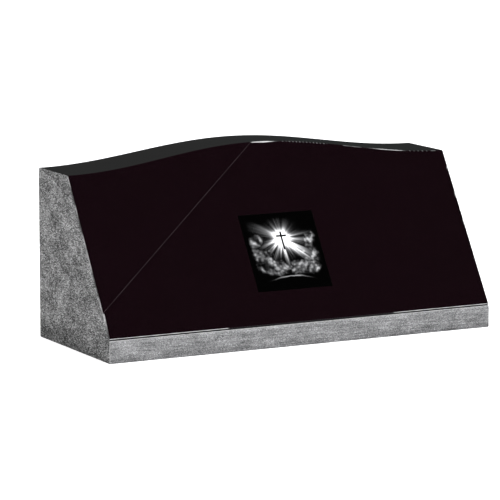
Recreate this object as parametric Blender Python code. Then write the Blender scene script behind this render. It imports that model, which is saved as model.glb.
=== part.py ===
"""Slant headstone with a serpentine top and an etched tile let into its face.

Run it with blender --background --python part.py, or from Blender's text editor.
Lengths are in metres and +Z is up. The stone stands on the plane z = 0 with its
footprint centred on the origin, and its polished face looks towards -Y.

In outline, seen from the side, the block is a low nose at the front, a face that
leans back from it, a level top and an upright back. The top rises from both
shoulders to a crest at the middle. A narrow saw cut, the quirk, parts the foot of
the face from the nose, and every other outer edge has a small arris.
"""

import math

import bmesh
import bpy
from mathutils import Matrix, Vector

# Granite block
BLOCK_WIDTH = 0.914
BLOCK_DEPTH = 0.350
SHOULDER_HEIGHT = 0.366
CREST_RISE = 0.042
TOP_DEPTH = 0.148
NOSE_HEIGHT = 0.048
BLOCK_ARRIS = 0.0015
TOP_STATIONS = 48

# Quirk: its height at the mouth, and its depth behind the foot of the face
QUIRK_HEIGHT = 0.0020
QUIRK_DEPTH = 0.0027

# Etched tile, lying in a pocket in the face
TILE_SIDE = 0.178
TILE_THICKNESS = 0.010
TILE_ARRIS = 0.0005
TILE_BELOW_MIDDLE = 0.021
TILE_JOINT = 0.0004

# Finishes: colour, roughness, metallic
POLISHED_BLACK = ((0.0060, 0.0030, 0.0042, 1.0), 0.08, 0.0)
STEELED_GREY = ((0.230, 0.232, 0.238, 1.0), 0.75, 0.0)
ETCHED_BLACK = ((0.0010, 0.0010, 0.0010, 1.0), 0.12, 0.0)

# Places that follow from the sizes above
FRONT = -BLOCK_DEPTH / 2
BACK = BLOCK_DEPTH / 2
FACE_RUN = BLOCK_DEPTH - TOP_DEPTH
FACE_RISE = SHOULDER_HEIGHT - NOSE_HEIGHT
FACE_LENGTH = math.hypot(FACE_RUN, FACE_RISE)
FACE_ANGLE = math.atan2(FACE_RISE, FACE_RUN)
FACE_FOOT = Vector((0.0, FRONT, NOSE_HEIGHT))
QUIRK_TOP = NOSE_HEIGHT + QUIRK_HEIGHT
CUTTER_OVERRUN = 0.010

# The block mesh's material slots
POLISHED = 0
STEELED = 1


def clear_scene():
    """Starts from an empty scene."""
    for old in list(bpy.data.objects):
        bpy.data.objects.remove(old, do_unlink=True)


def make_material(name, finish):
    """A Principled material with one colour, roughness and metallic value."""
    colour, roughness, metallic = finish
    material = bpy.data.materials.new(name)
    material.use_nodes = True
    shader = material.node_tree.nodes["Principled BSDF"]
    shader.inputs["Base Color"].default_value = colour
    shader.inputs["Roughness"].default_value = roughness
    shader.inputs["Metallic"].default_value = metallic
    material.diffuse_color = colour
    return material


def make_object(name, shape, materials=()):
    """Puts a bmesh into a new object of the scene, with its faces pointing out."""
    bmesh.ops.recalc_face_normals(shape, faces=shape.faces)
    mesh = bpy.data.meshes.new(name)
    shape.to_mesh(mesh)
    shape.free()
    for material in materials:
        mesh.materials.append(material)
    made = bpy.data.objects.new(name, mesh)
    bpy.context.scene.collection.objects.link(made)
    return made


def top_height(x):
    """Height of the top: an ogee from each shoulder, level there, up to the crest, level again."""
    return SHOULDER_HEIGHT + CREST_RISE * (1 + math.cos(2 * math.pi * x / BLOCK_WIDTH)) / 2


def face_y(z):
    """How far back the leaning face is at height z."""
    return FRONT + (z - NOSE_HEIGHT) * FACE_RUN / FACE_RISE


def section_corners(x):
    """Corners of the block's section at x, from the back foot up and over to the nose foot.

    Each is (point as (y, z), whether the corner has an arris).
    """
    top = top_height(x)
    quirk_back = face_y(QUIRK_TOP) + QUIRK_DEPTH
    return [
        (Vector((BACK, 0.0)), True),
        (Vector((BACK, top)), True),
        (Vector((face_y(top), top)), True),
        (Vector((face_y(QUIRK_TOP), QUIRK_TOP)), False),
        (Vector((quirk_back, QUIRK_TOP)), False),
        (Vector((quirk_back, NOSE_HEIGHT)), False),
        (Vector((FRONT, NOSE_HEIGHT)), True),
        (Vector((FRONT, 0.0)), True),
    ]


def with_arrises(corners):
    """Cuts each corner that has an arris, back by BLOCK_ARRIS along both of its sides."""
    points = []
    for i, (corner, has_arris) in enumerate(corners):
        if not has_arris:
            points.append(corner)
            continue
        before = corners[i - 1][0]
        after = corners[(i + 1) % len(corners)][0]
        points.append(corner + (before - corner).normalized() * BLOCK_ARRIS)
        points.append(corner + (after - corner).normalized() * BLOCK_ARRIS)
    return points


def drawn_in(points, distance):
    """The outline, which runs anticlockwise, moved inwards by the same distance on every side."""
    moved = []
    for i, point in enumerate(points):
        inward = []
        for start, end in ((points[i - 1], point), (point, points[(i + 1) % len(points)])):
            along = (end - start).normalized()
            inward.append(Vector((-along.y, along.x)))
        mitre = (inward[0] + inward[1]) / (1 + inward[0].dot(inward[1]))
        moved.append(point + mitre * distance)
    return moved


def block_rings():
    """The sections to join, as (x, outline): two at each end make the arris there, the rest follow the top."""
    inner_half = BLOCK_WIDTH / 2 - BLOCK_ARRIS
    rings = [(-BLOCK_WIDTH / 2, drawn_in(with_arrises(section_corners(-inner_half)), BLOCK_ARRIS))]
    for step in range(TOP_STATIONS + 1):
        x = inner_half * (2 * step / TOP_STATIONS - 1)
        rings.append((x, with_arrises(section_corners(x))))
    rings.append((BLOCK_WIDTH / 2, drawn_in(with_arrises(section_corners(inner_half)), BLOCK_ARRIS)))
    return rings


def loft_block():
    """Joins each section to the next along the width, and closes both ends."""
    shape = bmesh.new()
    rings = [[shape.verts.new((x, y, z)) for y, z in outline] for x, outline in block_rings()]
    for near, far in zip(rings, rings[1:]):
        for i in range(len(near)):
            j = (i + 1) % len(near)
            shape.faces.new((near[i], near[j], far[j], far[i]))
    shape.faces.new(rings[0])
    shape.faces.new(rings[-1])
    bmesh.ops.recalc_face_normals(shape, faces=shape.faces)
    return shape


def mark_finishes(shape):
    """The leaning face and the top are polished, and the rest is steeled."""
    face_normal = Vector((0.0, -math.sin(FACE_ANGLE), math.cos(FACE_ANGLE)))
    steepest_top = math.cos(math.atan(math.pi * CREST_RISE / BLOCK_WIDTH))
    for side in shape.faces:
        on_face = side.normal.dot(face_normal) > 0.999
        on_top = side.normal.z > 0.999 * steepest_top
        above_quirk = side.calc_center_median().z > QUIRK_TOP
        side.material_index = POLISHED if (on_face or on_top) and above_quirk else STEELED


def face_frame():
    """Puts x across, y up the face and z out of it, from the face's foot, in the stone's own axes."""
    return Matrix.Translation(FACE_FOOT) @ Matrix.Rotation(FACE_ANGLE, 4, "X")


def square_on_face(name, side, deepest, highest, arris=0.0, materials=()):
    """A square slab centred where the tile lies, between two heights measured out of the face."""
    shape = bmesh.new()
    bmesh.ops.create_cube(shape, size=1.0)
    bmesh.ops.scale(shape, vec=(side, side, highest - deepest), verts=shape.verts)
    centre = Vector((0.0, FACE_LENGTH / 2 - TILE_BELOW_MIDDLE, (highest + deepest) / 2))
    bmesh.ops.translate(shape, vec=centre, verts=shape.verts)
    if arris:
        rim = [edge for edge in shape.edges if all(v.co.z > centre.z for v in edge.verts)]
        bmesh.ops.bevel(shape, geom=rim, offset=arris, segments=1, affect="EDGES")
    made = make_object(name, shape, materials)
    made.matrix_world = face_frame()
    return made


def make_block():
    """The whole granite block, with the tile's pocket cut into its face."""
    shape = loft_block()
    mark_finishes(shape)
    polished = make_material("polished_black_granite", POLISHED_BLACK)
    steeled = make_material("steeled_grey_granite", STEELED_GREY)
    block = make_object("granite_block", shape, (polished, steeled))
    pocket_side = TILE_SIDE + 2 * TILE_JOINT
    pocket_floor = -(TILE_THICKNESS + TILE_JOINT)
    cutter = square_on_face("tile_pocket_cutter", pocket_side, pocket_floor, CUTTER_OVERRUN)
    cutter.hide_render = True
    cutter.display_type = "WIRE"
    cut = block.modifiers.new("tile_pocket", "BOOLEAN")
    cut.operation = "DIFFERENCE"
    cut.solver = "EXACT"
    cut.object = cutter
    return block


def make_tile():
    """The etched tile in its pocket, flush with the face."""
    etched = make_material("etched_black_granite", ETCHED_BLACK)
    return square_on_face("etched_tile", TILE_SIDE, -TILE_THICKNESS, 0.0, TILE_ARRIS, (etched,))


def main():
    clear_scene()
    make_block()
    make_tile()


main()
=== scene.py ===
# %% [markdown]
# A polished slant headstone
#
# This stone is one block of black granite. Its leaning face and serpentine top are polished
# almost to a mirror, and its nose, sides and back are steeled, which leaves them grey and
# grainy. A square black tile with an etched picture is let into the face. The solids come from
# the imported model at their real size, in metres, so nothing below has to be scaled or fitted:
# the lesson is in cutting a finer mesh from the block and in mixing the finishes.

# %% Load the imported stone
import math

import bmesh
import bpy
import numpy as np
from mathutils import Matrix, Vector, noise


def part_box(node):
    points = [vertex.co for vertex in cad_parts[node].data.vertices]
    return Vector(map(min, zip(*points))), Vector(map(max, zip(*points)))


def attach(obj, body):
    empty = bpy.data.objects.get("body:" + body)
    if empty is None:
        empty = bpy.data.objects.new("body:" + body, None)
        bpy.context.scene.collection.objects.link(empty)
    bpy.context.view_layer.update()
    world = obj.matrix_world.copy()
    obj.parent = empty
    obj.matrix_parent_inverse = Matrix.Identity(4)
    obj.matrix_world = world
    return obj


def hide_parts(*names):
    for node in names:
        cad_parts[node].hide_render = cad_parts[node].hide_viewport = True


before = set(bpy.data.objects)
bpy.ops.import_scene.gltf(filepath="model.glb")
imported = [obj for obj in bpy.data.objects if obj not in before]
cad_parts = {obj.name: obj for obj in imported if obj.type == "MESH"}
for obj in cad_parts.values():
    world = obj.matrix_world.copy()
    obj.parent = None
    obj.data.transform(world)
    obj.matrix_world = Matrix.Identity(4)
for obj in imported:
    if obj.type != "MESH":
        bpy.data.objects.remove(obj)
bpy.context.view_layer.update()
MM = 0.001

block_low, block_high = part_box("granite_block")
print("block, mm:", [round(side / MM, 1) for side in block_high - block_low])

# %% [markdown]
# Camera
#
# The picture was taken from the stone's left front, a little above it and from far away, so
# the long edges stay nearly parallel. A long lens at 7 m gives that look. The camera is placed
# first, because every finish is then judged from this one spot. A tracking constraint could
# aim it, but turning the matrix once with to_track_quat leaves nothing to update later.

# %% Place the camera
CAMERA_TARGET = Vector((-0.040, 0.0, 0.182))
CAMERA_AZIMUTH = math.radians(-27.7)
CAMERA_ELEVATION = math.radians(9.1)
CAMERA_DISTANCE = 6.993
CAMERA_LENS_MM = 234.27
SENSOR_WIDTH_MM = 36.0


def direction(azimuth, elevation):
    """The unit vector towards a spot at this azimuth, from the front, and elevation."""
    flat = math.cos(elevation)
    return Vector((math.sin(azimuth) * flat, -math.cos(azimuth) * flat, math.sin(elevation)))


def make_camera():
    lens = bpy.data.cameras.new("camera")
    lens.lens = CAMERA_LENS_MM
    lens.sensor_width = SENSOR_WIDTH_MM
    camera = bpy.data.objects.new("camera", lens)
    bpy.context.scene.collection.objects.link(camera)
    away = direction(CAMERA_AZIMUTH, CAMERA_ELEVATION)
    camera.location = CAMERA_TARGET + away * CAMERA_DISTANCE
    camera.rotation_euler = away.to_track_quat("Z", "Y").to_euler()
    bpy.context.scene.camera = camera
    return camera


camera = make_camera()
print("camera at", [round(place, 3) for place in camera.location])

# %% [markdown]
# Writing node sums as Python sums
#
# Every finish on this stone is a recipe of noise and arithmetic. Wiring Math nodes one by one
# hides the recipe, so a small class stands for a number that varies over a surface. Adding or
# multiplying two of them makes the Math node and its links, and the formula stays readable.

# %% A number that varies over a surface
class Field:
    """One output of a node tree. Python's arithmetic on it adds Math nodes to the same tree."""

    def __init__(self, socket):
        self.socket = socket
        self.tree = socket.id_data

    def math(self, operation, *others):
        node = self.tree.nodes.new("ShaderNodeMath")
        node.operation = operation
        for entry, value in zip(node.inputs, (self, *others)):
            feed(entry, value)
        return Field(node.outputs[0])

    def __add__(self, other):
        return self.math("ADD", other)

    def __radd__(self, other):
        return self.math("ADD", other)

    def __sub__(self, other):
        return self.math("SUBTRACT", other)

    def __rsub__(self, other):
        return self.math("MULTIPLY_ADD", -1.0, other)

    def __mul__(self, other):
        return self.math("MULTIPLY", other)

    def __rmul__(self, other):
        return self.math("MULTIPLY", other)

    def __truediv__(self, other):
        return self.math("DIVIDE", other)

    def __pow__(self, other):
        return self.math("POWER", other)

    def __abs__(self):
        return self.math("ABSOLUTE")

    def most(self, other):
        return self.math("MAXIMUM", other)

    def least(self, other):
        return self.math("MINIMUM", other)

    def ramp(self, low, high, out_low=0.0, out_high=1.0):
        """A smooth step: out_low up to low, out_high from high on."""
        node = self.tree.nodes.new("ShaderNodeMapRange")
        node.interpolation_type = "SMOOTHSTEP"
        for entry, value in zip(node.inputs, (self, low, high, out_low, out_high)):
            feed(entry, value)
        return Field(node.outputs["Result"])

    def bell(self, width):
        """A soft hump: 1 where the field is 0, falling to nothing past about twice the width."""
        return (-1.0 * (self / width) ** 2.0).math("EXPONENT")


def feed(entry, value):
    """Links a field or a socket to an input, or sets a plain value there."""
    if isinstance(value, Field):
        value = value.socket
    if isinstance(value, bpy.types.NodeSocket):
        entry.id_data.links.new(value, entry)
    else:
        entry.default_value = value


def add_node(tree, kind, **entries):
    """A new node, with its inputs fed by name; an underscore in a name stands for a space."""
    node = tree.nodes.new(kind)
    for name, value in entries.items():
        feed(node.inputs[name.replace("_", " ")], value)
    return node


def new_material(name):
    """A material and its Principled shader, ready to be fed."""
    material = bpy.data.materials.new(name)
    material.use_nodes = True
    return material, material.node_tree.nodes["Principled BSDF"]


def place_on_stone(tree):
    """The point in the stone's own axes, in metres."""
    return tree.nodes.new("ShaderNodeTexCoord").outputs["Object"]


def along(tree, place, way, start=0.0):
    """How far a place lies along a direction, in metres, counted from start."""
    node = tree.nodes.new("ShaderNodeVectorMath")
    node.operation = "DOT_PRODUCT"
    feed(node.inputs[0], place)
    node.inputs[1].default_value = way
    return Field(node.outputs["Value"]) - start


print("node helpers ready")

# %% [markdown]
# The shape, read from the frame
#
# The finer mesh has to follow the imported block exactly, so its sizes are measured here and not
# typed in again: the plane of the leaning face, the foot of the face, the width of the arris,
# which is the narrow flat along each edge, the height of the quirk, which is the saw cut between
# face and nose, and the heights of the top at the shoulders and the crest.

# %% Measure the block
block_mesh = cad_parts["granite_block"].data
points = np.array([corner.co for corner in block_mesh.vertices])
HAIR = 0.01 * MM  # measures that are closer than this count as the same
LEAST_LEAN = 0.3

leaning = [
    side for side in block_mesh.polygons
    if side.normal.y < -LEAST_LEAN and side.normal.z > LEAST_LEAN
]
largest = max(leaning, key=lambda side: side.area)
X_WAY, Y_WAY, Z_WAY = Vector((1, 0, 0)), Vector((0, 1, 0)), Vector((0, 0, 1))
FACE_NORMAL = largest.normal.normalized()
FACE_UP = FACE_NORMAL.cross(X_WAY)
FRONT_Y = block_low.y
BACK_Y = block_high.y
NOSE_Z = largest.center.z + (largest.center.y - FRONT_Y) * FACE_NORMAL.y / FACE_NORMAL.z
FACE_FOOT = Vector((0.0, FRONT_Y, NOSE_Z))

HALF_WIDTH = block_high.x
INNER_X = points[:, 0][points[:, 0] < HALF_WIDTH - HAIR].max()
ARRIS = HALF_WIDTH - INNER_X
CREST_Z = block_high.z
SHOULDER_Z = points[points[:, 0] > INNER_X - HAIR][:, 2].max()
QUIRK_Z = points[points[:, 2] > NOSE_Z + HAIR][:, 2].min()


def up_the_face(point):
    """Distance from the foot of the face, measured along its slope."""
    return (Vector(point) - FACE_FOOT).dot(FACE_UP)


def out_of_face(point):
    """Height of a point over the plane of the face."""
    return (Vector(point) - FACE_FOOT).dot(FACE_NORMAL)


print("face leans at", round(math.degrees(math.acos(FACE_NORMAL.z)), 2), "degrees from level")
print("arris, shoulder, crest, nose, quirk top, mm:",
      [round(size / MM, 2) for size in (ARRIS, SHOULDER_Z, CREST_Z, NOSE_Z, QUIRK_Z)])

# %% [markdown]
# A clean copy of the block
#
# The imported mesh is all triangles, because every renderer can read those. A mason's block has
# whole flats, and whole flats are easier to cut into a tidy grid. So the copy is welded, its
# triangles are joined back into four-sided faces, and each long flat becomes one face again.
# The leaning face has a hole, and a Blender face can't, so it is left in four-sided pieces.

# %% Copy the block and join its flats
SAME_WAY = 0.9999  # two unit vectors whose dot product is higher point the same way
FLAT_ENOUGH = math.radians(0.5)


def join_flat(shape, way, high=CREST_Z):
    """Joins the faces that look one way, and lie below a height, into one face."""
    flat = [
        side for side in shape.faces
        if side.normal.dot(way) > SAME_WAY and side.calc_center_median().z < high
    ]
    bmesh.ops.dissolve_faces(shape, faces=flat)


def clean_block():
    shape = bmesh.new()
    shape.from_mesh(block_mesh)
    bmesh.ops.remove_doubles(shape, verts=shape.verts, dist=0.1 * HAIR)
    bmesh.ops.recalc_face_normals(shape, faces=shape.faces)
    bmesh.ops.join_triangles(
        shape, faces=shape.faces, angle_face_threshold=FLAT_ENOUGH,
        angle_shape_threshold=math.pi, cmp_materials=False,
    )
    join_flat(shape, X_WAY)
    join_flat(shape, -X_WAY)
    join_flat(shape, Y_WAY)
    join_flat(shape, -Z_WAY, high=NOSE_Z)
    join_flat(shape, -Y_WAY, high=NOSE_Z)
    return shape


block = clean_block()
print("clean block:", len(block.faces), "faces, the longest outline has",
      max(len(side.verts) for side in block.faces), "corners")

# %% [markdown]
# Cutting it like a loaf
#
# Steeled stone is rough to the touch, so its mesh needs corners every few millimetres to push
# about. A remesh would give those but would round the arrises and close the quirk. Slicing the
# faces with parallel planes keeps every edge where it is, because a cut only adds corners on
# faces that it crosses. First the whole block is sliced across its width.

# %% Slice the block across its width
SLICE = 3.0 * MM
SNAP = 0.3 * MM


def cut(shape, sides, point, way, snap=SNAP):
    """Cuts faces along a plane. Returns those behind it and those ahead of it."""
    edges = {edge for side in sides for edge in side.edges}
    corners = {corner for side in sides for corner in side.verts}
    made = bmesh.ops.bisect_plane(
        shape, geom=[*corners, *edges, *sides], dist=snap, plane_co=point, plane_no=way
    )
    behind = []
    ahead = []
    for part in made["geom"]:
        if isinstance(part, bmesh.types.BMFace):
            is_ahead = (part.calc_center_median() - point).dot(way) > 0
            (ahead if is_ahead else behind).append(part)
    return behind, ahead


def slice_up(shape, sides, way, low, high, spacing):
    """Cuts faces along parallel planes, about spacing apart. Returns all the slices."""
    count = round((high - low) / spacing)
    done = []
    ahead = sides
    for step in range(1, count):
        level = low + (high - low) * step / count
        behind, ahead = cut(shape, ahead, way * level, way)
        done += behind
    return done + ahead


slice_up(block, block.faces[:], X_WAY, -INNER_X, INNER_X, SLICE)
print("after slicing:", len(block.faces), "faces")

# %% [markdown]
# A fair curve on top
#
# A polished curve shows every flat as a broken reflection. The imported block's top is a chain of
# short flats, so each new corner is lifted from the chord onto the true ogee between shoulder
# and crest. The lift is under a twentieth of a millimetre, which the eye can't measure but does
# see. Corners on the face's side also move back a little, to stay in the plane of the face.

# %% Lift the top onto its curve
on_back_edge = (np.abs(points[:, 1] - BACK_Y + ARRIS) < HAIR) & (points[:, 2] > SHOULDER_Z - HAIR)
packed_top = points[on_back_edge]
packed_top = packed_top[packed_top[:, 0].argsort()]


def ogee(x):
    """Height of the top at x."""
    return SHOULDER_Z + (CREST_Z - SHOULDER_Z) * (1 + math.cos(math.pi * x / HALF_WIDTH)) / 2


def fair_the_top(shape):
    most = 0.0
    for corner in shape.verts:
        if abs(corner.co.x) > INNER_X + HAIR or corner.co.z < SHOULDER_Z - 2 * ARRIS:
            continue
        chord = np.interp(corner.co.x, packed_top[:, 0], packed_top[:, 2])
        if corner.co.z < chord - ARRIS - HAIR:
            continue
        lift = ogee(corner.co.x) - chord
        most = max(most, abs(lift))
        corner.co.z += lift
        if out_of_face(corner.co) > -ARRIS:
            corner.co.y -= lift * FACE_NORMAL.z / FACE_NORMAL.y
    return most


print("most lift, mm:", round(fair_the_top(block) / MM, 3))
block.normal_update()

# %% [markdown]
# Which surface is which
#
# Each finish belongs to one surface, so a face's surface is told from the way it looks and
# where it lies, and kept as the number of a material slot. The tile's pocket takes the quirk's
# finish, the near-black of painted shade. All this is done before anything is roughened,
# because afterwards the directions are no longer exact.

# %% Name the surfaces
SURFACES = ["polished", "steeled", "arris", "top_arris", "quirk", "margin", "hairline"]
POLISHED, STEELED, EDGE, TOP_EDGE, QUIRK, MARGIN, HAIRLINE = range(len(SURFACES))
LOOKS_UP = 0.98
SQUARE_ON = 0.95
tile_low, tile_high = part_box("etched_tile")


def is_in_pocket(point):
    """True for the walls and the floor of the tile's pocket."""
    ranges = zip(tile_low, point, tile_high)
    near_tile = all(low - MM < part < high + MM for low, part, high in ranges)
    return near_tile and out_of_face(point) < -HAIR


def surface_of(side):
    """The finish of one face, while the block is still smooth."""
    look = side.normal
    middle = side.calc_center_median()
    over_face = out_of_face(middle)
    if is_in_pocket(middle):
        return QUIRK
    if look.dot(FACE_NORMAL) > SAME_WAY and abs(over_face) < HAIR:
        return POLISHED
    if look.z > LOOKS_UP and middle.z > SHOULDER_Z - MM:
        return POLISHED
    inside_ends = abs(middle.x) < INNER_X
    if inside_ends and NOSE_Z - HAIR < middle.z < QUIRK_Z + HAIR and middle.y > FRONT_Y + ARRIS:
        return QUIRK
    if max(abs(part) for part in look) > SQUARE_ON:
        return STEELED
    at_back = middle.y > BACK_Y - ARRIS
    if middle.z > SHOULDER_Z - 2 * ARRIS:
        if not inside_ends:
            return STEELED
        return POLISHED if at_back else TOP_EDGE
    at_front = over_face > -2 * ARRIS or middle.y < FRONT_Y + ARRIS
    return EDGE if at_front and not at_back and middle.z > ARRIS else STEELED


for side in block.faces:
    side.material_index = surface_of(side)
print({name: sum(side.material_index == number for side in block.faces)
       for number, name in enumerate(SURFACES)})

# %% [markdown]
# The margin and the hairline
#
# Along the foot of the face runs a strip over 1 mm wide that is painted pale as a highlight, and
# the lip below it is painted near-black as shade, in the quirk's finish. A fine line is also
# scribed across the face, from the crest's edge down to the left arris. All three could be
# painted by a material, but a line that thin would blur in a baked texture. Here the face is cut
# along them, and the middle of the scribed line is pressed in to make a groove.

# %% Cut the margin and scribe the hairline
LIP_WIDTH = 1.1 * MM
MARGIN_WIDTH = 1.3 * MM
LIP_TOP = (QUIRK_Z - NOSE_Z) / FACE_UP.z + LIP_WIDTH
HAIRLINE_HIGH = Vector((-0.0030, 0.432))
HAIRLINE_LOW = Vector((-0.4440, 0.0723))
HAIRLINE_WIDTH = 0.6 * MM
HAIRLINE_DEPTH = 0.2 * MM
FINE_SNAP = 0.02 * MM


def face_point(across, up):
    """A point of the face, from its place across and up the slope."""
    return FACE_FOOT + Vector((across, 0, 0)) + FACE_UP * up


def face_sides(shape):
    """The polished faces that lie in the leaning plane."""
    return [
        side for side in shape.faces
        if side.material_index == POLISHED and abs(out_of_face(side.calc_center_median())) < HAIR
        and side.normal.dot(FACE_NORMAL) > SAME_WAY
    ]


def cut_margin(shape):
    # The lip is painted near-black as shade, and the strip above it pale as a highlight.
    for height, surface in ((LIP_TOP, QUIRK), (LIP_TOP + MARGIN_WIDTH, MARGIN)):
        foot, _ = cut(shape, face_sides(shape), face_point(0, height), FACE_UP, FINE_SNAP)
        for side in foot:
            side.material_index = surface


def scribe_hairline(shape):
    start = face_point(*HAIRLINE_LOW)
    end = face_point(*HAIRLINE_HIGH)
    across = (end - start).normalized().cross(FACE_NORMAL)
    for offset in (-0.5, 0.0, 0.5):
        cut(shape, face_sides(shape), start + across * HAIRLINE_WIDTH * offset, across, FINE_SNAP)
    for side in face_sides(shape):
        if abs((side.calc_center_median() - start).dot(across)) < HAIRLINE_WIDTH / 2:
            side.material_index = HAIRLINE
    bottom = {
        corner for side in shape.faces if side.material_index == HAIRLINE for corner in side.verts
        if abs((corner.co - start).dot(across)) < FINE_SNAP
    }
    for corner in bottom:
        corner.co -= FACE_NORMAL * HAIRLINE_DEPTH
    return len(bottom)


cut_margin(block)
print("corners in the hairline's bottom:", scribe_hairline(block))

# %% [markdown]
# A grid on the steeled flats
#
# The back and the nose already have slices across the width, so cutting them at levels makes
# small squares. The ends are cut both ways, and their arrises at the same levels. The back is
# seen least, so its rows are coarser.

# %% Cut the steeled flats into squares
ROW = 3.0 * MM
BACK_ROW = 4.5 * MM


def flats(shape, way):
    """The steeled faces that look one way."""
    return [
        side for side in shape.faces
        if side.material_index == STEELED and side.normal.dot(way) > SAME_WAY
    ]


slice_up(block, flats(block, Y_WAY), Z_WAY, 0.0, CREST_Z, BACK_ROW)
slice_up(block, flats(block, -Y_WAY), Z_WAY, 0.0, NOSE_Z, ROW)
for way in (X_WAY, -X_WAY):
    slice_up(block, flats(block, way), Y_WAY, FRONT_Y, BACK_Y, ROW)
ends = [side for side in block.faces if abs(side.calc_center_median().x) > INNER_X]
slice_up(block, ends, Z_WAY, 0.0, SHOULDER_Z, ROW)
print("after the grid:", len(block.faces), "faces")

# %% [markdown]
# Eased by hand
#
# The arrises round the face aren't even. Beside the crest the long one was rubbed wider, and
# that place carries a bright sliver of painted highlight. So were the lowest few centimetres of
# the left one, below the hairline, and three short places on the right one. A Bevel modifier
# makes one width along an edge, so here the edges of the arris are moved by a tapering amount
# instead, along the face or back along the top.

# %% Widen the arris in places
# Each is where it starts, is widest and ends along the arris, and how much wider it gets there.
TOP_RUBBED = [(-0.006, 0.021, 0.044, 1.2 * MM)]
RIGHT_RUBBED = [
    (0.326, 0.332, 0.339, 4.0 * MM),
    (0.257, 0.270, 0.278, 4.5 * MM),
    (0.190, 0.202, 0.209, 4.5 * MM),
]
LEFT_RUBBED = [(0.0, 0.061, 0.0611, 2.6 * MM)]


def extra_width(place, rubbed):
    """How much wider than elsewhere the arris is at a place along it."""
    return max(
        most * max(0.0, min((place - start) / (peak - start), (end - place) / (end - peak)))
        for start, peak, end, most in rubbed
    )


def widen_arrises(shape):
    for corner in shape.verts:
        kinds = {side.material_index for side in corner.link_faces}
        if not kinds & {POLISHED, HAIRLINE, MARGIN, QUIRK}:
            continue
        on_face = abs(out_of_face(corner.co)) < HAIRLINE_DEPTH + HAIR
        if TOP_EDGE in kinds and on_face:
            corner.co -= FACE_UP * extra_width(corner.co.x, TOP_RUBBED)
        elif TOP_EDGE in kinds:
            corner.co.y += extra_width(corner.co.x, TOP_RUBBED)
        elif EDGE in kinds and on_face:
            rubbed = RIGHT_RUBBED if corner.co.x > 0 else LEFT_RUBBED
            corner.co.x -= math.copysign(extra_width(up_the_face(corner.co), rubbed), corner.co.x)


widen_arrises(block)
print("arris at the crest, mm:", round((ARRIS + TOP_RUBBED[0][-1]) / MM, 2))

# %% [markdown]
# Steeled relief
#
# Steel shot leaves the stone undulating by a few tenths of a millimetre, with small pits and
# faint drag marks. A bump map would shade the same but would leave the mesh flat, so the
# corners are really moved, always inwards, because the block's outer size is fixed. A corner
# moves only if all its faces belong to one steeled flat, which keeps every arris straight.

# %% Roughen the steeled flats
DRAG_ALONG = Vector((0, -0.96, -0.28))
DRAG_ACROSS = Vector((0, 0.28, -0.96))
DRAG_LENGTH = 55 * MM
DRAG_WIDTH = 7 * MM
DRAG_DEPTH = 0.12 * MM
SWELL_SIZE = 40 * MM
SWELL_DEPTH = 0.10 * MM
PIT_SIZE = 6 * MM
PIT_DEPTH = 0.55 * MM
PIT_LEVEL = 0.22
MIDDLE_DEPTH = 0.16 * MM


def drag_place(point):
    """The point in axes drawn out along the drag marks: level on the nose, falling on the ends."""
    return Vector((
        point.x / DRAG_LENGTH,
        point.dot(DRAG_ALONG) / DRAG_LENGTH,
        point.dot(DRAG_ACROSS) / DRAG_WIDTH,
    ))


def relief(point):
    """How deep the shot has cut at a point of a steeled flat."""
    swell = noise.fractal(point / SWELL_SIZE, 1.0, 2.0, 3)
    drag = noise.noise(drag_place(point))
    pit = max(0.0, noise.noise(point / PIT_SIZE) - PIT_LEVEL)
    return max(0.0, MIDDLE_DEPTH + SWELL_DEPTH * swell + DRAG_DEPTH * drag + PIT_DEPTH * pit)


def is_inside_flat(corner):
    """True if a corner lies inside one steeled flat, not at its edges or on the underside."""
    first = corner.link_faces[0].normal
    if first.dot(-Z_WAY) > SAME_WAY:
        return False
    return all(
        side.material_index == STEELED and side.normal.dot(first) > SAME_WAY
        for side in corner.link_faces
    )


def roughen(shape):
    shape.normal_update()
    moves = [(corner, corner.link_faces[0].normal * relief(corner.co))
             for corner in shape.verts if is_inside_flat(corner)]
    for corner, move in moves:
        corner.co -= move
    return len(moves)


print("corners roughened:", roughen(block))

# %% [markdown]
# Bruised arrises
#
# The pale arrises at the two ends and along the nose have taken small knocks. A Boolean with
# little wedges would do, but pressing in the arris's own corners where a noise is high makes
# the same small bruises and leaves the mesh whole.

# %% Bruise the end arrises and the nose arris
BRUISE_SPACING = 11 * MM
BRUISE_DEPTH = 1.6 * MM
BRUISE_LEVEL = 0.32


def bruise(shape):
    moves = []
    for corner in shape.verts:
        pale = [side.normal for side in corner.link_faces if side.material_index == EDGE]
        if not pale:
            continue
        knock = max(0.0, noise.noise(corner.co / BRUISE_SPACING) - BRUISE_LEVEL)
        inward = sum(pale, Vector()).normalized()
        moves.append((corner, inward * knock * BRUISE_DEPTH))
    for corner, move in moves:
        corner.co -= move
    return max(move.length for _, move in moves)


print("deepest bruise, mm:", round(bruise(block) / MM, 2))

# %% [markdown]
# Colours through a ramp
#
# Granite is a mix of dark and light crystals, so its colour is best read from one number
# through a ramp of stone colours. The same helper serves every finish below.

# %% A colour ramp helper
def colour_ramp(field, stops):
    """The colour read from a field through (position, colour) stops."""
    node = field.tree.nodes.new("ShaderNodeValToRGB")
    feed(node.inputs["Fac"], field)
    ramp = node.color_ramp
    while len(ramp.elements) < len(stops):
        ramp.elements.new(0.5)
    for element, (position, colour) in zip(ramp.elements, stops):
        element.position = position
        element.color = (*colour, 1.0)
    return node.outputs["Color"]


def grey(level, warm=0.0):
    """A grey of this linear level; warm above 0 leans to red, below 0 to blue."""
    return (level * (1 + warm), level, level * (1 - warm))


def noise_field(tree, place, size, detail=2.0, roughness=0.5):
    """Cloudy noise from 0 to 1, with blobs about the given size, in metres."""
    node = add_node(tree, "ShaderNodeTexNoise", Vector=place, Scale=1 / size,
                    Detail=detail, Roughness=roughness)
    return Field(node.outputs["Fac"])


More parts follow.
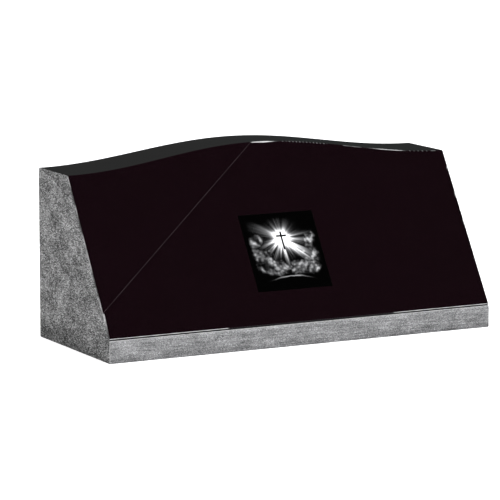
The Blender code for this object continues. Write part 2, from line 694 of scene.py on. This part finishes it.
def shaken(tree, place, size, amount):
    """The place moved about by noise, by up to about half the amount."""
    shake = add_node(tree, "ShaderNodeTexNoise", Vector=place, Scale=1 / size, Detail=2.0)
    moved = tree.nodes.new("ShaderNodeVectorMath")
    moved.operation = "MULTIPLY_ADD"
    feed(moved.inputs[0], shake.outputs["Color"])
    moved.inputs[1].default_value = (amount, amount, amount)
    feed(moved.inputs[2], place)
    return moved.outputs["Vector"]


def crystal_field(tree, place, size):
    """A random number from 0 to 1 for each crystal of about this size, with uneven outlines."""
    uneven = shaken(tree, place, size, size)
    cells = add_node(tree, "ShaderNodeTexVoronoi", Vector=uneven, Scale=1 / size)
    parts = add_node(tree, "ShaderNodeSeparateColor", Color=cells.outputs["Color"])
    return Field(parts.outputs["Red"])


def bumped(shader, height, distance):
    """Feeds a height field to the shader as fine bump, this deep."""
    node = add_node(height.tree, "ShaderNodeBump", Height=height, Distance=distance)
    feed(shader.inputs["Normal"], node.outputs["Normal"])


print("colour helpers ready")

# %% [markdown]
# Polished granite
#
# Polished, this stone looks almost black with a breath of plum. Its crystals are there but
# barely lighter than the ground, so they show only from close by. Roughness stays low and
# nearly even; a perfect mirror of 0 would look like glass or plastic.

# %% Make the polished granite
POLISHED_TONES = [
    (0.0, (0.0033, 0.0010, 0.0017)),
    (0.60, (0.0047, 0.0015, 0.0025)),
    (0.90, (0.0064, 0.0025, 0.0037)),
    (1.0, (0.0110, 0.0066, 0.0080)),
]
POLISHED_CRYSTAL = 1.6 * MM
POLISHED_CLOUD = 60 * MM


def polished_granite():
    material, shader = new_material("polished_black_granite")
    tree = material.node_tree
    place = place_on_stone(tree)
    crystal = crystal_field(tree, place, POLISHED_CRYSTAL)
    cloud = noise_field(tree, place, POLISHED_CLOUD, detail=3.0)
    tone = crystal * 0.7 + cloud * 0.3
    feed(shader.inputs["Base Color"], colour_ramp(tone, POLISHED_TONES))
    feed(shader.inputs["Roughness"], crystal.ramp(0.0, 1.0, 0.05, 0.08))
    return material


print("made", polished_granite().name)

# %% [markdown]
# Steeled granite
#
# Shot breaks the polish into facets that scatter light, and the same stone turns grey. Three
# sizes of pattern make it read as stone: crystals of 2 mm, drawn out along the ends, softer
# mottling of a few centimetres, and drag marks along the way that the shot ran. The nose got
# finer shot, so its grain is quieter and its drag marks tell more. The nose is also painted
# lighter than the ends, partly for its finer shot and partly as painted light, and lightest in
# a painted highlight just below the quirk. The stone is darker towards its foot, and the darker
# band reaches higher towards the back. The drag marks use the same axes as the relief.

# %% Make the steeled granite
STEELED_TONES = [
    (0.0, grey(0.024)),
    (0.25, grey(0.082)),
    (0.50, grey(0.177)),
    (0.75, grey(0.312)),
    (1.0, grey(0.540)),
]
GRAIN_DRAW = Vector((1.0, 0.471, 1.3))
CRYSTAL_SIZE = 2.2 * MM
GRAIN_SIZE = 2.1 * MM
MOTTLE_SIZE = 34 * MM
VEIN_WIDTH = 26 * MM
STREAK_WIDTH = 3 * MM
# Depth of the nose's painted highlight, then how high the darker foot reaches at the front and at
# the back.
NOSE_HIGHLIGHT_DEPTH = 12 * MM
FOOT_DARK_IN_FRONT = 20 * MM
FOOT_DARK_BEHIND = 60 * MM
STEELED_TONE = 0.458


def drag_field(tree, place, width, detail=2.0):
    """Noise drawn out along the drag marks, from 0 to 1."""
    parts = [
        along(tree, place, X_WAY) / DRAG_LENGTH,
        along(tree, place, DRAG_ALONG) / DRAG_LENGTH,
        along(tree, place, DRAG_ACROSS) / width,
    ]
    joined = add_node(tree, "ShaderNodeCombineXYZ", X=parts[0], Y=parts[1], Z=parts[2])
    return noise_field(tree, joined.outputs["Vector"], 1.0, detail)


def stone_tone(tree, place):
    """The light and dark of steeled stone, around 0.5, and the height of its grain."""
    drawn = tree.nodes.new("ShaderNodeVectorMath")
    drawn.operation = "MULTIPLY"
    feed(drawn.inputs[0], place)
    drawn.inputs[1].default_value = GRAIN_DRAW
    grain_place = drawn.outputs["Vector"]
    crystal = crystal_field(tree, grain_place, CRYSTAL_SIZE)
    grain = noise_field(tree, grain_place, GRAIN_SIZE, detail=1.0, roughness=0.6)
    mottle = noise_field(tree, place, MOTTLE_SIZE)
    vein = drag_field(tree, place, VEIN_WIDTH)
    drag = drag_field(tree, place, STREAK_WIDTH, detail=0.0)
    from_front = along(tree, place, Y_WAY, FRONT_Y)
    on_nose = from_front.ramp(0.5 * MM, 2 * MM, 1.0, 0.0)
    reach = from_front.ramp(0.0, 100 * MM, FOOT_DARK_IN_FRONT, FOOT_DARK_BEHIND)
    height = along(tree, place, Z_WAY)
    # Darker towards the foot, reaching higher towards the back.
    foot_darkening = (height / reach).ramp(0.0, 1.0, 1.0, 0.0) * (1.0 - on_nose * 0.5)
    # The nose is painted lighter, partly for finer shot and partly as painted light, with a
    # painted highlight along its top.
    nose_paler_and_highlight = on_nose * height.ramp(NOSE_Z - NOSE_HIGHLIGHT_DEPTH, NOSE_Z, 0.069, 0.164)
    fine = ((crystal - 0.5) * 0.48 + (grain - 0.5) * 2.0) * (1.0 - on_nose * 0.44)
    soft = ((mottle - 0.5) * 0.49 + (vein - 0.5) * 0.52) * (1.0 - on_nose * 0.38)
    streaks = (drag - 0.5) * (0.15 + on_nose * 0.28)
    tone = STEELED_TONE + nose_paler_and_highlight + fine + soft + streaks - foot_darkening * (vein * 0.44)
    return tone, crystal * 0.5 + grain


def steeled_granite():
    material, shader = new_material("steeled_grey_granite")
    tree = material.node_tree
    tone, grain = stone_tone(tree, place_on_stone(tree))
    feed(shader.inputs["Base Color"], colour_ramp(tone, STEELED_TONES))
    feed(shader.inputs["Roughness"], tone.ramp(0.2, 0.9, 0.85, 0.6))
    shader.inputs["Specular IOR Level"].default_value = 0.25
    bumped(shader, grain, 0.15 * MM)
    return material


print("made", steeled_granite().name)

# %% [markdown]
# Pale arrises
#
# An arris is rubbed with a stone by hand, which leaves a fine, pale, even grey, lighter than
# the steeled flats. Here the same pale also paints the highlights that the arrises catch: along
# the nose, up the right end and in patches up the left one. Along the top it is painted
# highlight only, in places: a bright sliver beside the crest, two fainter ones and a dash down
# the right-hand slope, and short dashes between them. The rest of it is polish. One number
# decides it, 0 for polish and 1 for pale, and drives both the colour and the roughness.

# %% Make the pale and highlight finishes
# Polish, then pale stone; the pale stands for rubbing and for painted highlight.
RUBBED_AND_HIGHLIGHT_TONES = [
    (0.0, (0.0060, 0.0019, 0.0032)),
    (0.45, grey(0.06)),
    (1.0, grey(0.62, 0.01)),
]


def rubbed_and_highlight_finish(name, how_rubbed):
    """A finish that goes from polish to pale, which stands for rubbed stone and painted highlight.
    how_rubbed makes the field that says where.
    """
    material, shader = new_material(name)
    tree = material.node_tree
    place = place_on_stone(tree)
    rubbed = how_rubbed(tree, place).least(1.0).most(0.0)
    feed(shader.inputs["Base Color"], colour_ramp(rubbed, RUBBED_AND_HIGHLIGHT_TONES))
    feed(shader.inputs["Roughness"], rubbed.ramp(0.0, 0.6, 0.08, 0.65))
    return material


def arris_rubbing_and_highlight(tree, place):
    """Painted highlight along the nose and the right end, and in patches up the left one, over
    pale rubbing.
    """
    fine = noise_field(tree, place, 3.5 * MM, detail=2.0)
    worn = noise_field(tree, place, 55 * MM, detail=1.0).ramp(0.44, 0.58, 0.42, 0.72)
    height = along(tree, place, Z_WAY)
    # The low patch, the nose and the right end are painted highlight.
    foot = height.ramp(0.055, 0.085, 0.35, 0.66) * height.ramp(0.098, 0.102, 1.0, 0.0)
    nose = along(tree, place, Y_WAY, FRONT_Y).ramp(2 * MM, 4 * MM, 1.0, 0.0)
    nose = nose * height.ramp(NOSE_Z - 2 * MM, NOSE_Z, 0.70, 0.78)
    right = along(tree, place, X_WAY).ramp(0.1, 0.2, 0.0, 0.55)
    return worn.most(foot).most(nose).most(right) + (fine - 0.5) * 0.5


# Painted highlight along the top. Slivers: start, full from, full to, end, strength. Dashes:
# start, end, spacing, strength.
HIGHLIGHT_SLIVERS = [
    (-0.013, -0.005, 0.030, 0.064, 1.0),
    (0.209, 0.214, 0.250, 0.262, 0.50),
    (0.248, 0.312, 0.345, 0.372, 0.82),
    (0.424, 0.429, 0.436, 0.441, 0.52),
]
HIGHLIGHT_DASHES = [(0.061, 0.174, 8.2 * MM, 0.44), (0.371, 0.420, 10.6 * MM, 0.34)]


def dashes(x, spacing, gap=0.60):
    """Short dashes along the width, with this spacing and about this much of it left empty."""
    wave = (x * (2 * math.pi / spacing)).math("SINE") * 0.5 + 0.5
    return wave.ramp(gap, gap + 0.25)


def top_arris_highlight(tree, place):
    """Painted highlight: slivers that taper to their ends, with fainter dashes between them."""
    x = along(tree, place, X_WAY)
    uneven = noise_field(tree, place, 12 * MM, detail=1.0).ramp(0.35, 0.65)
    rubbed = 0.0
    for low, high, spacing, strength in HIGHLIGHT_DASHES:
        inside = (x - low).ramp(0.0, MM) * (x - high).ramp(-MM, 0.0, 1.0, 0.0)
        rubbed = dashes(x, spacing) * inside * (uneven * 0.16 + strength) + rubbed
    for start, full_from, full_to, end, strength in HIGHLIGHT_SLIVERS:
        taper = x.ramp(start, full_from) * x.ramp(full_to, end, 1.0, 0.0)
        rubbed = rubbed.most(taper * strength * (uneven * 0.12 + 0.94))
    return rubbed


def margin_highlight(tree, place):
    """Painted highlight: pale and a little broken near both ends, with faint dots between."""
    x = along(tree, place, X_WAY)
    patch = noise_field(tree, place, 16 * MM, detail=1.0)
    pale = x.ramp(-0.185, -0.175, 1.0, 0.0) + x.ramp(0.212, 0.222)
    dots = dashes(x, 6 * MM, 0.5) * 0.22
    return dots.most(pale * (0.85 + (patch - 0.5) * 0.6))


print("made", rubbed_and_highlight_finish("rubbed_arris_and_highlight", arris_rubbing_and_highlight).name)

# %% [markdown]
# Quirk and hairline
#
# The saw cut is rough inside, and its finish is painted near-black as shade, which it also lends
# to the lip above the cut and to the tile's pocket. The scribed line is broken polish: paler
# than the face, but only just.

# %% Make the dull finishes
def dull_finish(name, darkest, lightest, size, tint=(1.0, 1.0, 1.0)):
    """Dull stone: noise between two levels of one tint. For the quirk it is painted shade, for the
    hairline broken polish.
    """
    material, shader = new_material(name)
    tree = material.node_tree
    speck = noise_field(tree, place_on_stone(tree), size, detail=3.0)
    tones = [(0.3, [darkest * part for part in tint]), (0.7, [lightest * part for part in tint])]
    feed(shader.inputs["Base Color"], colour_ramp(speck, tones))
    feed(shader.inputs["Roughness"], speck.ramp(0.0, 1.0, 0.9, 0.7))
    shader.inputs["Specular IOR Level"].default_value = 0.1
    return material


# Near-black painted shade, for the quirk, the lip above it and the tile's pocket.
print("made", dull_finish("quirk_painted_shade", 0.004, 0.018, 3 * MM).name)

# %% [markdown]
# The finished block
#
# One mesh carries all the finishes, one material slot for each surface. It takes the place of
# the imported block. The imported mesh's stored normals came along in the copy and no longer fit
# the cut faces, so they are dropped. Shading is smooth except where two faces meet at more than
# 25 degrees, and except on the leaning face: a true plane needs no smoothing, and its long thin
# slices would only pick up faint streaks from it.

# %% Finish the block
FINISHES = {
    POLISHED: bpy.data.materials["polished_black_granite"],
    STEELED: bpy.data.materials["steeled_grey_granite"],
    EDGE: bpy.data.materials["rubbed_arris_and_highlight"],
    TOP_EDGE: rubbed_and_highlight_finish("top_arris_painted_highlight", top_arris_highlight),
    QUIRK: bpy.data.materials["quirk_painted_shade"],
    MARGIN: rubbed_and_highlight_finish("margin_painted_highlight", margin_highlight),
    HAIRLINE: dull_finish("scribed_hairline", 0.028, 0.058, 30 * MM, (1.28, 0.95, 1.02)),
}
SHARP = math.radians(25)


def object_from(name, shape, materials):
    mesh = bpy.data.meshes.new(name)
    shape.to_mesh(mesh)
    shape.free()
    for material in materials:
        mesh.materials.append(material)
    if "custom_normal" in mesh.attributes:
        mesh.attributes.remove(mesh.attributes["custom_normal"])
    mesh.shade_smooth()
    mesh.set_sharp_from_angle(angle=SHARP)
    for side in mesh.polygons:
        side.use_smooth = side.normal.dot(FACE_NORMAL) < SAME_WAY
    made = bpy.data.objects.new(name, mesh)
    bpy.context.scene.collection.objects.link(made)
    return made


dressed_block = object_from("dressed_granite_block", block, FINISHES.values())
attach(dressed_block, "root")
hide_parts("granite_block")
print(dressed_block.name, "has", len(dressed_block.data.polygons), "faces")

# %% [markdown]
# The etched picture
#
# A diamond or laser frosts the polished black tile, and the frost is what shows as white. The
# picture is of a kind that many stones carry: a plain cross before a burst of light, with rays,
# banks of cloud and a low hill. It isn't an image file but a formula of the place on the tile,
# so it stays sharp at any size. Across and up are counted from the tile's middle, in tile
# widths.

# %% Measure the tile
TILE_SIDE = tile_high.x - tile_low.x
TILE_MIDDLE = (tile_low + tile_high) / 2


def flat_vector(across, up):
    """Two fields joined into a vector socket."""
    return add_node(across.tree, "ShaderNodeCombineXYZ", X=across, Y=up).outputs["Vector"]


class Tile:
    """The tile's own axes in a material: how far across and up a place is, in tile widths."""

    def __init__(self, tree):
        place = place_on_stone(tree)
        self.tree = tree
        self.across = along(tree, place, X_WAY, TILE_MIDDLE.x) / TILE_SIDE
        self.up = along(tree, place, FACE_UP, TILE_MIDDLE.dot(FACE_UP)) / TILE_SIDE

    def shifted(self, across, up):
        """A point at some distance from this one, as a vector socket."""
        return flat_vector(self.across + across, self.up + up)


print("tile, mm:", round(TILE_SIDE / MM, 1))

# %% [markdown]
# Light, rays and the cross
#
# Brightness falls away from the burst's middle as a bell. A ray keeps its brightness along its
# length, so the rays come from noise read at the direction from the middle, and not at the
# place. A coarse noise makes broad rays and decides how far each reaches, and a fine one lays
# thin rays over them. The cross is the one thing left unfrosted in the burst.

# %% Build the burst and the cross
BURST_UP = 0.17
GLOW_SIZE = 0.095
HALO_SIZE = 0.24
BROAD_RAY = 0.30
THIN_RAY = 0.10
CROSS_HIGH, CROSS_LOW = 0.085, -0.150
CROSS_ARM_UP = 0.030
CROSS_ARM_REACH = 0.068
CROSS_BAR = 0.0115
SOFT_EDGE = 0.003


def burst_of_light(tile):
    """The glow and its rays, from 0 to 1 and a little over."""
    tree = tile.tree
    from_middle = tile.up - BURST_UP
    distance = (tile.across ** 2.0 + from_middle ** 2.0) ** 0.5
    from_point = distance.most(0.01)
    steepness = from_middle / from_point
    way = flat_vector(tile.across / from_point, steepness)
    broad = noise_field(tree, way, BROAD_RAY, detail=1.0).ramp(0.42, 0.64)
    thin = noise_field(tree, way, THIN_RAY, detail=1.0).ramp(0.46, 0.66)
    reach = noise_field(tree, way, 0.55, detail=0.0).ramp(0.3, 0.7, 0.35, 0.75)
    fade = (distance / reach).ramp(0.05, 1.0, 1.0, 0.0)
    downward = steepness.ramp(-0.8, 0.2, 1.0, 0.40)
    rays = (broad * 0.75 + thin * 0.40 + 0.06) * fade * downward
    glow = distance.bell(GLOW_SIZE) * 1.5 + distance.bell(HALO_SIZE) * 0.22
    return glow + rays


def box_mask(across, up, half_width, low, high):
    """1 inside an upright box and 0 outside, with a soft edge."""
    inside = abs(across).ramp(half_width - SOFT_EDGE, half_width + SOFT_EDGE, 1.0, 0.0)
    above = up.ramp(low - SOFT_EDGE, low + SOFT_EDGE)
    below = up.ramp(high - SOFT_EDGE, high + SOFT_EDGE, 1.0, 0.0)
    return inside * above * below


def cross_mask(tile):
    """1 on the cross, 0 elsewhere."""
    up = tile.up - BURST_UP
    arm_low, arm_high = CROSS_ARM_UP - CROSS_BAR, CROSS_ARM_UP + CROSS_BAR
    upright = box_mask(tile.across, up, CROSS_BAR, CROSS_LOW, CROSS_HIGH)
    arm = box_mask(tile.across, up, CROSS_ARM_REACH, arm_low, arm_high)
    return upright.most(arm)


print("cross, mm high:", round((CROSS_HIGH - CROSS_LOW) * TILE_SIDE / MM, 1))

# %% [markdown]
# Cloud banks
#
# A cloud is drawn as lumps lit from the burst. Smooth Voronoi cells make the lumps, and the
# same lumps read a little nearer to the light tell which side of each is bright: where they
# fall away towards the light, the lump faces it. Soft bells say where the banks lie.

# %% Build the clouds and the hill
# Each bank is the place of its middle, across and up, and how wide and how high it is.
BANKS = [
    (-0.36, 0.15, 0.12, 0.09),
    (0.37, 0.16, 0.12, 0.09),
    (-0.33, -0.06, 0.17, 0.12),
    (0.33, -0.05, 0.17, 0.13),
    (-0.19, -0.21, 0.24, 0.11),
    (0.20, -0.22, 0.24, 0.11),
]
LUMP = 0.11
FINE_LUMP = 0.07
LIGHT_STEP = 0.022
HILL_UP = -0.375
HILL_RISE = 0.050
HILL_BEND = 5.2
HILL_ROLL = 0.03


def lumps(tile, across, up):
    """Rounded lumps with finer ones on them, high in their middles."""
    point = tile.shifted(across, up)
    big = add_node(tile.tree, "ShaderNodeTexVoronoi", Vector=point, Scale=1 / LUMP)
    big.feature = "SMOOTH_F1"
    fine = noise_field(tile.tree, point, FINE_LUMP, detail=4.0, roughness=0.55)
    return 1.0 - Field(big.outputs["Distance"]) * 0.8 + (fine - 0.5) * 0.9


def cloud_banks(tile):
    """Lit clouds, from 0 to 1."""
    bank = None
    for across, up, wide, high in BANKS:
        spot = ((tile.across - across) / wide) ** 2.0 + ((tile.up - up) / high) ** 2.0
        soft = (spot * -1.0).math("EXPONENT")
        bank = soft if bank is None else bank.most(soft)
    here = lumps(tile, 0.0, 0.0)
    nearer = lumps(tile, tile.across * -0.10, LIGHT_STEP)
    body = ((bank * 1.5).least(1.0) + (here - 0.7) * 0.6).ramp(0.30, 1.0)
    facing = ((here - nearer) * 1.6 + 0.42).ramp(0.0, 1.0, 0.14, 0.66)
    return body * facing


def hill_ridge(tile):
    """Height over the ridge of the dark hill at the foot of the picture."""
    ridge = (tile.across * HILL_BEND).math("COSINE") * HILL_RISE + HILL_UP
    roll = noise_field(tile.tree, tile.shifted(0.0, 0.0), 0.12)
    return tile.up - ridge - (roll - 0.5) * HILL_ROLL


print("cloud banks:", len(BANKS))

# %% [markdown]
# Frost on black
#
# The picture's brightness becomes frost: white and rough where it is bright, jet black and
# polished where it is not. A fine stipple breaks up the middle greys, as the tool's dots do.
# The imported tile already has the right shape, so it stays and only changes its material.

# %% Etch the tile
FROST_TONES = [(0.0, grey(0.0002)), (0.35, grey(0.10)), (0.70, grey(0.42)), (1.0, grey(0.95))]
STIPPLE = 0.35 * MM


def picture(tile):
    """How much frost lies at each place of the tile, from 0 to 1."""
    light = burst_of_light(tile).most(cloud_banks(tile))
    over_hill = hill_ridge(tile)
    rim_light = over_hill.bell(0.010) * 0.5 * abs(tile.across).ramp(0.05, 0.40, 1.0, 0.0)
    edge = abs(tile.across).most(abs(tile.up)).ramp(0.40, 0.485, 1.0, 0.0)
    seen = (1.0 - cross_mask(tile)) * over_hill.ramp(-0.004, 0.004) * edge
    return light * seen + rim_light * edge


def etched_tile_finish():
    material, shader = new_material("etched_black_tile")
    tile = Tile(material.node_tree)
    dots = noise_field(tile.tree, tile.shifted(0.0, 0.0), STIPPLE / TILE_SIDE, detail=0.0)
    frost = (picture(tile) + (dots - 0.5) * 0.25).ramp(0.06, 0.94)
    feed(shader.inputs["Base Color"], colour_ramp(frost, FROST_TONES))
    feed(shader.inputs["Roughness"], frost.ramp(0.0, 0.4, 0.05, 0.7))
    return material


tile_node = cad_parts["etched_tile"]
tile_node.material_slots[0].material = etched_tile_finish()
print("etched", tile_node.name)

# %% [markdown]
# Light and floor
#
# The stone was photographed in a white sweep, which lights it softly from all round and leaves
# no dark background. Polished stone would mirror that sweep and turn grey, so photographers
# hang black cloths where the polish looks. The world does both here: white for the camera,
# soft light for dull surfaces, and near-dark cloths for reflections.

# %% Light the stone
WHITE = (1, 1, 1, 1)
AMBIENT = 0.48
FLOOR_SIZE = 80.0
FLOOR_COLOUR = (0.9, 0.9, 0.9, 1)
FLOOR_GLOW = 0.6
CLOTHS = [
    (0.00, grey(0.020)),
    (0.50, (0.030, 0.034, 0.033)),
    (0.64, (0.060, 0.068, 0.065)),
    (0.75, grey(0.030)),
    (0.86, grey(0.016)),
    (1.00, grey(0.012)),
]


def backdrop(tree, colour, strength=1.0):
    return add_node(tree, "ShaderNodeBackground", Color=colour, Strength=strength).outputs[0]


def make_world():
    world = bpy.data.worlds.new("white_sweep")
    world.use_nodes = True
    tree = world.node_tree
    tree.nodes.clear()
    ray = tree.nodes.new("ShaderNodeLightPath")
    way = tree.nodes.new("ShaderNodeTexCoord").outputs["Generated"]
    height = along(tree, way, Z_WAY) * 0.5 + 0.5
    soft = backdrop(tree, WHITE, AMBIENT)
    cloths = backdrop(tree, colour_ramp(height, CLOTHS))
    for_gloss = add_node(tree, "ShaderNodeMixShader", Fac=ray.outputs["Is Glossy Ray"])
    feed(for_gloss.inputs[1], soft)
    feed(for_gloss.inputs[2], cloths)
    for_camera = add_node(tree, "ShaderNodeMixShader", Fac=ray.outputs["Is Camera Ray"])
    feed(for_camera.inputs[1], for_gloss.outputs[0])
    feed(for_camera.inputs[2], backdrop(tree, WHITE))
    output = tree.nodes.new("ShaderNodeOutputWorld")
    feed(output.inputs["Surface"], for_camera.outputs[0])
    bpy.context.scene.world = world


def add_lamp(name, azimuth, elevation, strength, spread, colour=(1, 1, 1)):
    """A soft, distant lamp, with its angles in degrees. It isn't mirrored in the polish."""
    data = bpy.data.lights.new(name, "SUN")
    data.energy = strength
    data.angle = math.radians(spread)
    data.color = colour
    lamp = bpy.data.objects.new(name, data)
    towards = direction(math.radians(azimuth), math.radians(elevation))
    lamp.rotation_euler = towards.to_track_quat("Z", "Y").to_euler()
    lamp.visible_glossy = False
    bpy.context.scene.collection.objects.link(lamp)


def make_floor():
    bpy.ops.mesh.primitive_plane_add(size=FLOOR_SIZE)
    floor = bpy.context.object
    floor.name = "floor"
    material, shader = new_material("pale_floor")
    shader.inputs["Base Color"].default_value = FLOOR_COLOUR
    shader.inputs["Roughness"].default_value = 0.9
    shader.inputs["Specular IOR Level"].default_value = 0.0
    shader.inputs["Emission Color"].default_value = WHITE
    shader.inputs["Emission Strength"].default_value = FLOOR_GLOW
    floor.data.materials.append(material)
    floor.visible_glossy = False


make_world()
add_lamp("overhead", azimuth=20, elevation=80, strength=1.7, spread=70)
add_lamp("front", azimuth=35, elevation=35, strength=1.5, spread=50, colour=(0.95, 0.97, 1.05))
make_floor()
bpy.context.scene.view_settings.view_transform = "Standard"
print("lamps:", [lamp.name for lamp in bpy.data.lights])
